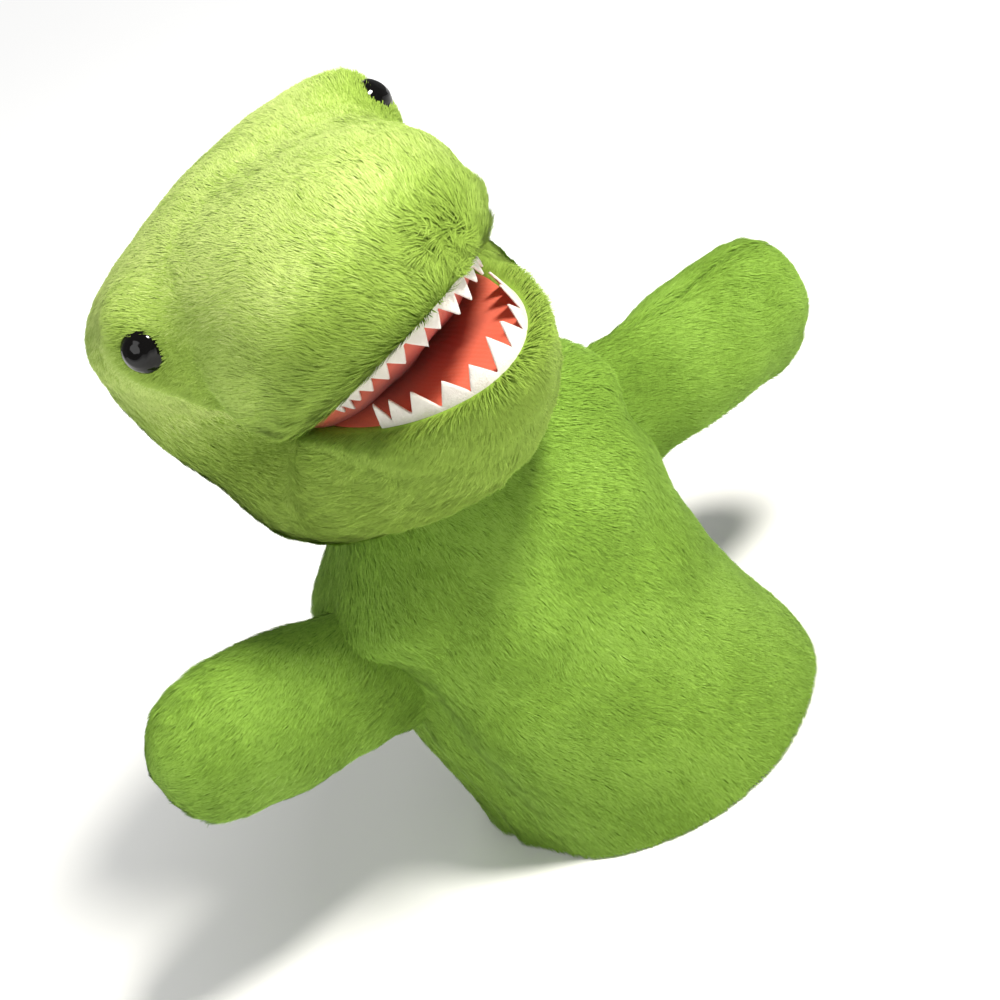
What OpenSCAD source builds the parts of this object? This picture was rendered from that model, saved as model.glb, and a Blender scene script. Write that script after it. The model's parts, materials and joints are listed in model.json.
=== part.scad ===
// Plush moving-mouth hand puppet: a dinosaur with felt teeth and stuffed arms.
// It stands on its hem, faces -Y and leans a little towards -X. Sides are the puppet's own, so left is +X.

/* [Sleeve] */
// Width of the sleeve at the hem
sleeve_w = 134; // [128:1:142]
// Depth of the sleeve at the hem
sleeve_d = 132; // [126:1:136]
// Length of the sleeve along its middle line, from the hem to the neck opening
sleeve_len = 140; // [136:1:150]
// Sideways lean of the neck end of the sleeve, in degrees
lean = 12; // [8:1:16]
// Thickness of the plush: its backing and the dense part of its pile
plush = 3; // [2:0.5:3.5]

/* [Head] */
// Turn of the head towards the left, in degrees
turn = 3; // [0:1:8]
// Half width of the mouth at its corners
mouth_w = 37; // [35:1:39]
// Depth of the mouth from its fold to the lip
mouth_d = 79; // [76:1:82]
// Angle between the palates with the mouth at rest, in degrees
gape = 22; // [20:1:24]
// Diameter of the safety eyes
eye_d = 15; // [12:1:16]
// Teeth in the upper felt strip
teeth = 17; // [15:2:23]
// Teeth in the lower felt strip
lower_count = 11; // [9:2:17]
// Height of the longest tooth
tooth_h = 9; // [6:1:10]

/* [Arms] */
// Length of an arm from its seam to its tip
arm_len = 87; // [78:1:92]
// Height of an arm at its widest, seen from the front
arm_h = 55; // [44:1:58]
// Thickness of a stuffed arm from front to back
arm_t = 38; // [28:1:42]
// Distance of the arm seams from the hem, along the middle line
arm_s = 105; // [98:1:106]

/* [Hidden] */

gap = 0.2;             // room between two layers of one body
joint_gap = 0.4;       // room between two bodies
lining = 0.8;          // thickness of the lining cloth
palate = 1;            // thickness of the mouth's lining
plate = 1.6;           // thickness of the foam board behind each palate
felt = 1.2;            // thickness of the teeth
wad = 9;               // thickness of the stuffing, with the plush's backing
fold_r = 2;            // radius of the roll of cloth along the mouth's fold
seam_r = 1.4;          // radius of a rolled seam
seam_len = 11;         // length of the seam on which an arm turns
around = 24;           // steps round half a shell
neck_s = sleeve_len + 12;     // where the neck pivots, along the middle line
hinge_y = -18;         // mouth fold from the neck pivot, towards the back
hinge_z = 49;          // mouth fold above the neck pivot
eye_at = [51.9, 3.4, 52.5];       // middle of the left eye's dome from the mouth fold
eye_axis = [0.67, -0.6, 0.43];   // where the left eye looks
eye_low = 2;           // how far a dome's centre lies below its rim
shank_d = 4;           // diameter of an eye's shank
washer_d = 13;         // diameter and thickness of the washer on it
washer_t = 1.2;
eye_shank = 8;         // length of an eye's shank behind its dome
green = [0.50, 0.74, 0.24];
lime = [0.68, 0.86, 0.40];
coral = [0.86, 0.36, 0.27];
cream = [0.93, 0.90, 0.86];
wadding = [0.95, 0.95, 0.93];

// Distance from the hem, half width and half depth of the sleeve's outside
SLEEVE = [[0, sleeve_w / 2, sleeve_d / 2], [30, sleeve_w / 2, sleeve_d / 2 - 2],
    [70, sleeve_w / 2 - 1, sleeve_d / 2 - 9], [105, sleeve_w / 2 - 5, sleeve_d / 2 - 19],
    [120, sleeve_w / 2 - 10, sleeve_d / 2 - 25], [132, sleeve_w / 2 - 16, sleeve_d / 2 - 30],
    [sleeve_len, sleeve_w / 2 - 22, sleeve_d / 2 - 34]];
// The head is a fan of sections through the line between the mouth's corners. Each row holds a section's
// angle up from straight forwards, its depth from that line, how far its flanks bulge past the corners, and
// how round it is: 1 is an oval, and less is squarer, as where the eyes stand.
UPPER = [[gape, mouth_d, 6, 1], [37, 78, 19, 1], [52, 79, 27, 1], [67, 74, 31, 0.95],
    [80, 69, 33, 0.8], [90, 68, 35, 0.68], [105, 74, 43, 0.55], [125, 80, 53, 0.5],
    [145, 79, 55, 0.52], [165, 69, 55, 0.7], [190, 60, 51, 0.95], [204, 58, 50, 1]];
NAPE = [[205, 58, 50, 1], [227, 62, 46, 1]];
CHEEK = [[205, 56, 50, 1], [225, 51, 46, 1], [245, 48, 41, 1], [262, 47, 36, 1]];
JAW = [[-78, 45, 29, 1], [-60, 53, 26, 1], [-40, 60, 20, 1], [-20, 69, 13, 1], [0, mouth_d, 5, 1]];
// From an arm's seam outwards, half height and half thickness
ARM = [[6, 0.27, 0.15], [9, 0.56, 0.36], [16, 0.76, 0.62], [28, 0.88, 0.88], [50, 0.97, 1],
    [66, 1, 0.97], [78, 0.84, 0.80], [85, 0.58, 0.55], [88.5, 0.28, 0.27], [90, 0.05, 0.05]];

function pick(table, column, at) = lookup(at, [for (row = table) [row[0], row[column]]]);
function flat(grid) = [for (row = grid) each row];

// ---- closed solids between two grids of points ----
function sheet_faces(rows, cols, base, wrap, flip) =
    [for (i = [0:rows - 2], j = [0:cols - (wrap ? 1 : 2)])
        let (a = base + i * cols + j, b = base + i * cols + (j + 1) % cols, c = b + cols, d = a + cols)
        each flip ? [[a, b, c], [a, c, d]] : [[c, b, a], [d, c, a]]];
function edge_faces(outer, inner) =
    [for (k = [0:len(outer) - 2])
        each [[outer[k], outer[k + 1], inner[k + 1]], [outer[k], inner[k + 1], inner[k]]]];
function row_ids(cols, base, i, wrap) = [for (j = [0:cols - (wrap ? 0 : 1)]) base + i * cols + j % cols];
function col_ids(rows, cols, base, j) = [for (i = [rows - 1:-1:0]) base + i * cols + j];

// The solid between two grids of the same size. A wrapped grid closes on itself, as a tube does.
module between(outer, inner, wrap = false, flip = false) {
    rows = len(outer);
    cols = len(outer[0]);
    n = rows * cols;
    faces = concat(
        sheet_faces(rows, cols, 0, wrap, false), sheet_faces(rows, cols, n, wrap, true),
        edge_faces(row_ids(cols, 0, 0, wrap), row_ids(cols, n, 0, wrap)),
        edge_faces(row_ids(cols, n, rows - 1, wrap), row_ids(cols, 0, rows - 1, wrap)),
        wrap ? [] : edge_faces(col_ids(rows, cols, 0, 0), col_ids(rows, cols, n, 0)),
        wrap ? [] : edge_faces(col_ids(rows, cols, n, cols - 1), col_ids(rows, cols, 0, cols - 1)));
    turned = [for (f = faces) [f[2], f[1], f[0]]];
    polyhedron(points = concat(flat(outer), flat(inner)), faces = flip ? turned : faces, convexity = 6);
}

// A solid from one grid: each row is a closed outline, and the first and last rows are its ends.
module loft(grid, flip = false) {
    rows = len(grid);
    cols = len(grid[0]);
    caps = [[for (j = [0:cols - 1]) j], [for (j = [cols - 1:-1:0]) (rows - 1) * cols + j]];
    faces = concat(sheet_faces(rows, cols, 0, true, false), caps);
    turned = [for (f = faces) [for (k = [len(f) - 1:-1:0]) f[k]]];
    polyhedron(points = flat(grid), faces = flip ? turned : faces, convexity = 6);
}

// ---- the leaning middle line of the sleeve ----
bend_r = sleeve_len / (lean * PI / 180);
function lean_at(s) = lean * min(s, sleeve_len) / sleeve_len;
function spine(s) =
    let (t = lean_at(s), extra = max(0, s - sleeve_len))
    [-bend_r * (1 - cos(t)) - extra * sin(t), 0, bend_r * sin(t) + extra * cos(t)];
function on_spine(s, p) =
    let (t = lean_at(s))
    spine(s) + [p[0] * cos(t) - p[2] * sin(t), p[1], p[0] * sin(t) + p[2] * cos(t)];
function ring(s, w, d, from, to, steps) =
    [for (k = [0:steps]) let (a = from + (to - from) * k / steps) on_spine(s, [w * cos(a), d * sin(a), 0])];
function band(rows, inset, from, to, steps) =
    [for (s = rows) ring(s, pick(SLEEVE, 1, s) - inset, pick(SLEEVE, 2, s) - inset, from, to, steps)];
function whole(grid) = [for (row = grid) [for (j = [0:len(row) - 2]) row[j]]];

sleeve_rows = [0, 15, 30, 50, 70, 88, 105, 112, 120, 127, 132, 136, sleeve_len];

// ---- sleeve ----
module sleeve_half(from, tint) {
    color(tint) between(band(sleeve_rows, 0, from, from + 180, around),
        band(sleeve_rows, plush, from, from + 180, around));
}
module sleeve_front() { sleeve_half(180, green); }
module sleeve_back() { sleeve_half(0, green); }

// The strip of cloth that faces the turned hem on the inside
module hem_facing() {
    rows = [0.6, 8, 16];
    color(green * 0.8) between(whole(band(rows, plush + gap, 0, 360, 48)),
        whole(band(rows, plush + gap + lining, 0, 360, 48)), wrap = true);
}
module sleeve_lining() {
    rows = [3, 40, 80, 105, 120, sleeve_len - 12];
    out = plush + 2 * gap + lining;
    color(wadding) between(whole(band(rows, out, 0, 360, 40)),
        whole(band(rows, out + lining, 0, 360, 40)), wrap = true);
}

// ---- neck ----
neck_slack = 7;        // the neck's outside inside the sleeve's outside, each side
neck_w = pick(SLEEVE, 1, sleeve_len) - neck_slack;
neck_d = pick(SLEEVE, 2, sleeve_len) - neck_slack;
function neck_tube(from, to, inset) =
    whole([for (k = [0:3]) ring(from + (to - from) * k / 3, neck_w - inset, neck_d - inset, 0, 360, 40)]);

// The rolled edge of the sleeve's neck opening
module neck_seam() {
    rows = [sleeve_len + gap, sleeve_len + gap + 2];
    color(green * 0.8) between(
        whole([for (s = rows) ring(s, neck_w + neck_slack - 0.5, neck_d + neck_slack - 0.5, 0, 360, 40)]),
        whole([for (s = rows) ring(s, neck_w + neck_slack - plush, neck_d + neck_slack - plush, 0, 360, 40)]),
        wrap = true);
}
module neck_plush() {
    color(green) between(neck_tube(sleeve_len - 2, neck_s - 3.5, 0),
        neck_tube(sleeve_len - 2, neck_s - 3.5, 2), wrap = true);
}
module neck_lining() {
    inset = 2 + gap;
    color(wadding) between(neck_tube(sleeve_len - 2, neck_s - 4, inset),
        neck_tube(sleeve_len - 2, neck_s - 4, inset + lining), wrap = true);
}

module at_spine(s) {
    translate(spine(s)) rotate([0, -lean_at(s), 0]) children();
}
module on_head() {
    at_spine(neck_s) children();
}
module at_fold() {
    on_head() rotate([0, 0, turn]) translate([0, hinge_y, hinge_z]) children();
}
module upper_frame() {
    at_fold() rotate([-gape, 0, 0]) children();
}

// ---- head shells: fans of sections through the mouth's corners ----
pole = 11;             // degrees round a section at which a shell starts, clear of the mouth's corner
cheek_stop = 48;       // degrees round a section at which the cheeks' undersides end
function section_point(table, up, t, inset) =
    let (x = cos(t) * (mouth_w - inset + pick(table, 2, up) * pow(sin(t), 0.7)),
        r = pow(sin(t), pick(table, 3, up)) * (pick(table, 1, up) - inset))
    [x, -r * cos(up), r * sin(up)];
function fan(table, from, to, inset, steps, start = pole, stop = 180 - pole) =
    [for (i = [0:steps]) let (up = from + (to - from) * i / steps)
        [for (k = [0:around]) section_point(table, up, start + (stop - start) * k / around, inset)]];

// A rounded pad under each eye lifts the plush
pad_h = 5;             // how far it lifts
pad_r = 17;            // how wide it is
function pad(p, side) =
    let (d = p - [side * eye_at[0], eye_at[1], eye_at[2]]) exp(-(d * d) / (pad_r * pad_r));
function lifted(grid) = [for (row = grid) [for (p = row) p + pad_h * (pad(p, 1) + pad(p, -1)) * p / norm(p)]];

// A shell of the head: its outside and inside are insets of one table's fan
module shell(table, from, to, outer, inner, steps, start = pole, stop = 180 - pole) {
    at_fold() between(lifted(fan(table, from, to, outer, steps, start, stop)),
        lifted(fan(table, from, to, inner, steps, start, stop)));
}

module crown_plush() { color(lime) shell(UPPER, gape, 204, 0, plush, 26); }
module nape_plush() { color(green) shell(NAPE, 205, 227, 0, plush, 3, cheek_stop + 1, 179 - cheek_stop); }
module cheek_left() { color(green) shell(CHEEK, 205, 262, 0, plush, 6, pole, cheek_stop); }
module cheek_right() { color(green) shell(CHEEK, 205, 262, 0, plush, 6, 180 - cheek_stop, 180 - pole); }
module jaw_plush() { color(lime) shell(JAW, -78, 0, 0, plush, 10); }
module crown_stuffing() { color(wadding) shell(UPPER, gape + 14, 200, plush + 1, plush + wad, 16, 16, 164); }
module jaw_stuffing() { color(wadding) shell(JAW, -72, -16, plush + 1, plush + wad, 6, 16, 164); }

// ---- pockets for the hand: arches over the upper palate and under the lower one ----
pocket_foot = palate + plate + 2 * gap;
// From the fold towards the front, half width and height of each pocket
FINGERS = [[-60, 10, 10], [-54, 18, 15], [-42, 24, 20], [-24, 28, 23], [-2, 28, 24]];
THUMB = [[-48, 9, 10], [-41, 15, 14], [-24, 18, 17], [-4, 20, 18]];
function arch(table, inset, up) =
    [for (row = table) let (w = row[1] - inset, h = row[2] - inset)
        [for (k = [0:around]) let (t = 180 * k / around)
            [w * cos(t), row[0] + inset * row[0] / -50, up * (pocket_foot + h * pow(sin(t), 0.8))]]];

module finger_pocket() {
    color(wadding) upper_frame() between(arch(FINGERS, 0, 1), arch(FINGERS, lining, 1), flip = true);
}
module thumb_pocket() {
    color(wadding) at_fold() between(arch(THUMB, 0, -1), arch(THUMB, lining, -1));
}

// ---- mouth ----
// The palate's outline: half an oval from corner to corner
function lip(inset) =
    [for (k = [0:40]) let (a = 180 + 180 * k / 40) [(mouth_w - inset) * cos(a), (mouth_d - inset) * sin(a)]];
module palate_sheet(inset) {
    intersection() {
        polygon(lip(inset));
        translate([-mouth_w, -mouth_d]) square([2 * mouth_w, mouth_d - fold_r - joint_gap]);
    }
}
module upper_lining() { color(coral) upper_frame() linear_extrude(palate) palate_sheet(plush + gap); }
module lower_lining() {
    color(coral) at_fold() mirror([0, 0, 1]) linear_extrude(palate) palate_sheet(plush + gap);
}
module upper_plate() {
    color([0.2, 0.2, 0.2]) upper_frame()
        translate([0, 0, palate + gap]) linear_extrude(plate) palate_sheet(plush + 1);
}
module lower_plate() {
    color([0.2, 0.2, 0.2]) at_fold() mirror([0, 0, 1])
        translate([0, 0, palate + gap]) linear_extrude(plate) palate_sheet(plush + 1);
}
module mouth_fold() {
    color(coral) at_fold() rotate([0, 90, 0])
        cylinder(r = fold_r, h = 2 * mouth_w - 6, center = true, $fn = 48);
}

// A felt strip that stands on the lip: its edge is a row of points, longest at the front
upper_span = 68;       // degrees each side of the front that a strip reaches
lower_span = 57;
strip_foot = 2.2;      // height of the strip between two teeth
// Where a point of the edge stands, in degrees from the front: steps of about the same length along the lip
function tooth_turn(k, count, span) = let (u = (k - count) / count) span * u * (1.35 - 0.35 * u * u);
function tooth_edge(k, count) =
    k % 2 == 0 ? strip_foot : tooth_h * (0.55 + 0.45 * cos(90 * (k - count) / count));
function strip(inset, up, count, span) =
    [for (level = [0:1]) [for (k = [0:2 * count])
        let (a = 270 + tooth_turn(k, count, span))
        [(mouth_w - inset) * cos(a), (mouth_d - inset) * sin(a),
            up * (level == 0 ? gap : tooth_edge(k, count))]]];
module felt_strip(inset, up, count, span) {
    color(cream) between(strip(inset, up, count, span), strip(inset + felt, up, count, span), flip = up < 0);
}
module upper_teeth() { upper_frame() felt_strip(plush + gap, -1, teeth, upper_span); }
module lower_teeth() { at_fold() felt_strip(plush + 2, 1, lower_count, lower_span); }

// ---- eyes ----
module at_eye(side) {
    at_fold() translate([side * eye_at[0], eye_at[1], eye_at[2]])
        rotate([0, acos(eye_axis[2] / norm(eye_axis)), atan2(eye_axis[1], side * eye_axis[0])]) children();
}
module eye(side) {
    color([0.03, 0.03, 0.03]) at_eye(side) {
        intersection() {
            translate([0, 0, -eye_low]) sphere(d = eye_d + 0.6, $fn = 64);
            cylinder(d = 2 * eye_d, h = eye_d, $fn = 64);
        }
        translate([0, 0, -eye_shank]) cylinder(d = shank_d, h = eye_shank + 1, $fn = 32);
    }
}
module eye_washer(side) {
    color([0.9, 0.9, 0.9]) at_eye(side) translate([0, 0, -eye_shank + 1.5]) difference() {
        cylinder(d = washer_d, h = washer_t, $fn = 48);
        translate([0, 0, -washer_t]) cylinder(d = shank_d + 0.1, h = 3 * washer_t, $fn = 32);
    }
}
module eye_left() { eye(1); }
module eye_right() { eye(-1); }
module eye_washer_left() { eye_washer(1); }
module eye_washer_right() { eye_washer(-1); }

// ---- arms ----
arm_stand = 2.8;       // seam axis outside the sleeve's plush
arm_rise = [-2, 16];    // degrees above level of the left and the right arm
module at_shoulder(side) {
    side_x = side * (pick(SLEEVE, 1, arm_s) + arm_stand);
    translate(on_spine(arm_s, [side_x, 0, 0])) children();
}
module arm_frame(side) {
    at_shoulder(side) rotate([0, -side * arm_rise[side > 0 ? 0 : 1], 0])
        mirror([side > 0 ? 0 : 1, 0, 0]) children();
}
function arm_grid(inset, from, to) =
    [for (row = ARM)
        let (h = row[1] * arm_h / 2, t = row[2] * arm_t / 2,
            x = row[0] * (arm_len - 0.7 * inset) / 90 + 0.3 * inset)
        [for (k = [0:12]) let (a = from + (to - from) * k / 12)
            [x, max(t - inset, 0.5 * t) * cos(a), max(h - inset, 0.5 * h) * sin(a)]]];
module arm_half(side, from) {
    color(green) arm_frame(side)
        between(arm_grid(0, from, from + 180), arm_grid(2.4, from, from + 180), flip = true);
}
module arm_stuffing(side) {
    rows = [for (k = [2:len(ARM) - 2]) ARM[k]];
    color(wadding) arm_frame(side) loft([for (row = rows) [for (k = [0:23]) let (a = 15 * k)
        [row[0] * arm_len / 90 * 0.97 + 1, (row[2] * arm_t / 2 - 3) * cos(a),
            (row[1] * arm_h / 2 - 3) * sin(a)]]], flip = true);
}
module arm_seam(side) {
    color(green * 0.8) at_shoulder(side) rotate([0, -lean_at(arm_s), 0])
        cylinder(r = seam_r, h = seam_len, center = true, $fn = 32);
}
module arm_front_left() { arm_half(1, 90); }
module arm_back_left() { arm_half(1, -90); }
module arm_stuffing_left() { arm_stuffing(1); }
module arm_seam_left() { arm_seam(1); }
module arm_front_right() { arm_half(-1, 90); }
module arm_back_right() { arm_half(-1, -90); }
module arm_stuffing_right() { arm_stuffing(-1); }
module arm_seam_right() { arm_seam(-1); }

sleeve_front();
sleeve_back();
hem_facing();
sleeve_lining();
neck_seam();
neck_lining();
neck_plush();
crown_plush();
nape_plush();
cheek_left();
cheek_right();
crown_stuffing();
finger_pocket();
upper_plate();
upper_lining();
mouth_fold();
upper_teeth();
eye_left();
eye_right();
eye_washer_left();
eye_washer_right();
jaw_plush();
jaw_stuffing();
thumb_pocket();
lower_plate();
lower_lining();
lower_teeth();
arm_seam_left();
arm_front_left();
arm_back_left();
arm_stuffing_left();
arm_seam_right();
arm_front_right();
arm_back_right();
arm_stuffing_right();
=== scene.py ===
"""Looks for the moving-mouth dinosaur hand puppet: plush skins with pile, mouth, teeth, eyes and stage.

Shapes are worked out in millimetres in small frames of their own (sleeve, head, arms) that hang on the packed
joints, and are scaled to metres when a mesh is made."""
import json
import math

import bpy
import numpy as np
from mathutils import Matrix, Vector


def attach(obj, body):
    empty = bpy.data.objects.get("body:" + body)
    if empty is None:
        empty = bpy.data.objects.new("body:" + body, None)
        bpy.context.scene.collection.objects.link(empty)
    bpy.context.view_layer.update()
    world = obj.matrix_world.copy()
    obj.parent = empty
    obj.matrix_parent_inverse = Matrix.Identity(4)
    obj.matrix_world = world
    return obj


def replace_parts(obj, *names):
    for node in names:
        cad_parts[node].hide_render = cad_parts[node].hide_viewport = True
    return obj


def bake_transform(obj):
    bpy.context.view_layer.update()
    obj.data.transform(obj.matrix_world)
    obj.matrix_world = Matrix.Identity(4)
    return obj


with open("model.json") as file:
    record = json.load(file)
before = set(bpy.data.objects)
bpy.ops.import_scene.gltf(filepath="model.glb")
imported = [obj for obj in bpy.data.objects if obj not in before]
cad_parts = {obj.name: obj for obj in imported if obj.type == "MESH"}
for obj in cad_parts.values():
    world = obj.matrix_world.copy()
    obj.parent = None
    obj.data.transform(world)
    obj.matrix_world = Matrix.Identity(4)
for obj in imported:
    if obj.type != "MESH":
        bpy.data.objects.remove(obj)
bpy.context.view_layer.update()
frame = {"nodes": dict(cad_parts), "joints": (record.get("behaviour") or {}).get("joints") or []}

MM = 0.001
JOINTS = {j["name"]: j for j in frame["joints"]}
SEED = 7


# ---------------------------------------------------------------- small helpers
def unit(v):
    v = np.asarray(v, float)
    return v / np.maximum(np.linalg.norm(v, axis=-1, keepdims=True), 1e-9)


def srgb(r, g, b):
    """8-bit display colour to linear light."""
    shown = (r / 255, g / 255, b / 255)
    return tuple(c / 12.92 if c <= 0.04045 else ((c + 0.055) / 1.055) ** 2.4 for c in shown)


def smooth_table(rows, column, at, width):
    """One column of a table of (key, values...) read at many keys, with its corners rounded over width."""
    keys = np.array([row[0] for row in rows], float)
    values = np.array([row[column] for row in rows], float)
    total = 0
    for k in np.linspace(-1, 1, 9):
        total = total + (1 - abs(k) * 0.8) * np.interp(np.asarray(at) + k * width, keys, values)
    return total / sum(1 - abs(k) * 0.8 for k in np.linspace(-1, 1, 9))


def bump(x, centre, width):
    return np.exp(-(((x - centre) / width) ** 2))


def ramp(x, lo, hi):
    t = np.clip((x - lo) / (hi - lo), 0, 1)
    return t * t * (3 - 2 * t)


def waves(points, size, seed, count=14):
    """Smooth noise from -1 to 1 or so, with features of about the given size."""
    rng = np.random.default_rng(seed)
    k = unit(rng.normal(size=(count, 3))) * (2 * math.pi / size) * rng.uniform(0.6, 1.4, (count, 1))
    phase = rng.uniform(0, 2 * math.pi, count)
    return np.sin(points @ k.T + phase).sum(axis=-1) / math.sqrt(count / 2) * 0.6


# ---------------------------------------------------------------- the puppet's frames
FOLD = np.array(JOINTS["jaw_open"]["pos_m"]) / MM
HEAD_X = unit(JOINTS["jaw_open"]["axis"])
NOD_X = unit(JOINTS["head_nod"]["axis"])
NECK_UP = unit(np.cross(NOD_X, [0, 1, 0]))
HEAD_Y = np.cross(NECK_UP, HEAD_X)
LEAN = math.atan2(NOD_X[2], NOD_X[0])      # how far the neck leans, in radians
SLEEVE_LEN = 140                           # along the middle line, from the hem to the neck opening
BEND = SLEEVE_LEN / LEAN


def head_to_row(p):
    return FOLD + p[..., 0:1] * HEAD_X + p[..., 1:2] * HEAD_Y + p[..., 2:3] * NECK_UP


def lean_at(s):
    return LEAN * np.minimum(s, SLEEVE_LEN) / SLEEVE_LEN


def spine(s):
    t, extra = lean_at(s), np.maximum(0, s - SLEEVE_LEN)
    x = -BEND * (1 - np.cos(t)) - extra * np.sin(t)
    z = BEND * np.sin(t) + extra * np.cos(t)
    return np.stack([x, 0 * t, z], -1)


def on_spine(s, across, deep):
    t = lean_at(s)
    return spine(s) + np.stack([across * np.cos(t), deep, across * np.sin(t)], -1)


# ---------------------------------------------------------------- meshes from grids
class Patch:
    """A grid of points, rows by columns, that makes a sheet mesh and can be sampled for pile."""

    def __init__(self, points, wrap=False, flip=False, keep=None):
        self.p, self.wrap, self.flip, self.keep = points, wrap, flip, keep
        self.refresh()

    def refresh(self):
        p = self.p
        self.du = np.gradient(p, axis=0)
        if self.wrap:
            self.dv = (np.roll(p, -1, axis=1) - np.roll(p, 1, axis=1)) / 2
        else:
            self.dv = np.gradient(p, axis=1)
        n = unit(np.cross(self.du, self.dv))
        self.n = -n if self.flip else n

    def displace(self, amount):
        self.p = self.p + self.n * amount[..., None]
        self.refresh()

    def faces(self):
        rows, cols = self.p.shape[:2]
        i, j = np.meshgrid(np.arange(rows - 1), np.arange(cols if self.wrap else cols - 1), indexing="ij")
        if self.keep is not None:
            i, j = i[self.keep[:, :i.shape[1]]], j[self.keep[:, :j.shape[1]]]
        i, j = i.ravel(), j.ravel()
        k = (j + 1) % cols
        quads = np.stack([i * cols + j, (i + 1) * cols + j, (i + 1) * cols + k, i * cols + k], 1)
        return quads[:, ::-1] if self.flip else quads

    def sample(self, rng, count, weight):
        """Picks random places on the sheet, and returns a function that reads any grid of values at them."""
        quads = self.faces()
        flat, wt = self.p.reshape(-1, 3), weight.reshape(-1)
        a, b, c, d = (flat[quads[:, k]] for k in range(4))
        area = np.linalg.norm(np.cross(c - a, d - b), axis=1) * wt[quads].mean(axis=1)
        pick = rng.choice(len(quads), count, p=area / area.sum())
        s, t = rng.random((2, count, 1))
        q = quads[pick]

        def mix(grid):
            g = grid.reshape(-1, grid.shape[-1])
            near, far = g[q[:, 0]] * (1 - s) + g[q[:, 1]] * s, g[q[:, 3]] * (1 - s) + g[q[:, 2]] * s
            return near * (1 - t) + far * t

        return mix


def new_mesh(name, verts, faces, smooth=True):
    """A mesh object from points in millimetres and faces (an array, or a list of tuples)."""
    mesh = bpy.data.meshes.new(name)
    mesh.from_pydata([tuple(v) for v in (np.asarray(verts) * MM).tolist()], [], [tuple(f) for f in faces])
    mesh.validate()
    mesh.update()
    if smooth:
        mesh.shade_smooth()
    obj = bpy.data.objects.new(name, mesh)
    bpy.context.scene.collection.objects.link(obj)
    return obj


def apply_modifiers(obj):
    graph = bpy.context.evaluated_depsgraph_get()
    mesh = bpy.data.meshes.new_from_object(obj.evaluated_get(graph))
    obj.modifiers.clear()
    old, obj.data = obj.data, mesh
    bpy.data.meshes.remove(old)
    return obj


def thicken(obj, thickness, offset=-1.0):
    solid = obj.modifiers.new("thickness", "SOLIDIFY")
    solid.thickness, solid.offset, solid.use_even_offset = thickness * MM, offset, False
    return apply_modifiers(obj)


def sheet(name, patch, thickness):
    """A cloth of real thickness from a patch, whose points are its outer face."""
    faces = patch.faces()
    used, where = np.unique(faces, return_inverse=True)
    obj = new_mesh(name, patch.p.reshape(-1, 3)[used], where.reshape(faces.shape).tolist())
    return thicken(obj, thickness)


def loft(name, patch):
    """A closed solid from a wrapped patch, with its first and last rows closed."""
    rows, cols = patch.p.shape[:2]
    faces = patch.faces().tolist()
    first, last = list(range(cols)), list(range((rows - 1) * cols, rows * cols))
    caps = [first, last[::-1]] if not patch.flip else [first[::-1], last]
    return new_mesh(name, patch.p.reshape(-1, 3), faces + caps)


# ---------------------------------------------------------------- materials
def shader(name, colour, rough, sheen=0.0):
    m = bpy.data.materials.new(name)
    m.use_nodes = True
    s = m.node_tree.nodes["Principled BSDF"]
    s.inputs["Base Color"].default_value = (*colour, 1)
    s.inputs["Roughness"].default_value = rough
    s.inputs["Sheen Weight"].default_value = sheen
    s.inputs["Specular IOR Level"].default_value = 0.2 if rough > 0.5 else 0.5
    return m, m.node_tree, s


def cloth(name, dark, light, size, bump_size, bump_height, rough=0.9, sheen=0.3, stretch=(1, 1, 1)):
    """Mottled cloth: its colour drifts over size, and its surface is fibrous at bump_size, both in metres."""
    m, tree, s = shader(name, light, rough, sheen)
    nodes, link = tree.nodes, tree.links.new
    place = nodes.new("ShaderNodeTexCoord")
    spread = nodes.new("ShaderNodeMapping")
    spread.inputs["Scale"].default_value = stretch
    link(place.outputs["Object"], spread.inputs["Vector"])
    drift, fibre = nodes.new("ShaderNodeTexNoise"), nodes.new("ShaderNodeTexNoise")
    mix = nodes.new("ShaderNodeMix")
    drift.inputs["Scale"].default_value = 1 / size
    drift.inputs["Detail"].default_value = 6
    fibre.inputs["Scale"].default_value = 1 / bump_size
    fibre.inputs["Detail"].default_value = 4
    for noise in (drift, fibre):
        link(spread.outputs["Vector"], noise.inputs["Vector"])
    mix.data_type = "RGBA"
    mix.inputs["A"].default_value, mix.inputs["B"].default_value = (*dark, 1), (*light, 1)
    link(drift.outputs["Fac"], mix.inputs["Factor"])
    link(mix.outputs["Result"], s.inputs["Base Color"])
    relief = nodes.new("ShaderNodeBump")
    relief.inputs["Strength"].default_value = 0.6
    relief.inputs["Distance"].default_value = bump_height
    link(fibre.outputs["Fac"], relief.inputs["Height"])
    link(relief.outputs["Normal"], s.inputs["Normal"])
    return m


def woven(name, dark, light, thread, rough=0.85):
    """Plain-woven cloth with threads of the given width in metres."""
    m = cloth(name, dark, light, 0.02, thread * 1.5, thread * 0.3, rough)
    nodes, link = m.node_tree.nodes, m.node_tree.links.new
    place, s = nodes["Texture Coordinate"], nodes["Principled BSDF"]
    chain = s.inputs["Normal"].links[0].from_socket
    for axis in ("X", "Z"):
        wave, relief = nodes.new("ShaderNodeTexWave"), nodes.new("ShaderNodeBump")
        wave.bands_direction = axis
        wave.inputs["Scale"].default_value = 0.31 / thread
        wave.inputs["Distortion"].default_value = 0.6
        link(place.outputs["Object"], wave.inputs["Vector"])
        relief.inputs["Strength"].default_value = 0.35
        relief.inputs["Distance"].default_value = thread * 0.25
        link(wave.outputs["Fac"], relief.inputs["Height"])
        link(chain, relief.inputs["Normal"])
        chain = relief.outputs["Normal"]
    link(chain, s.inputs["Normal"])
    return m


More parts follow.
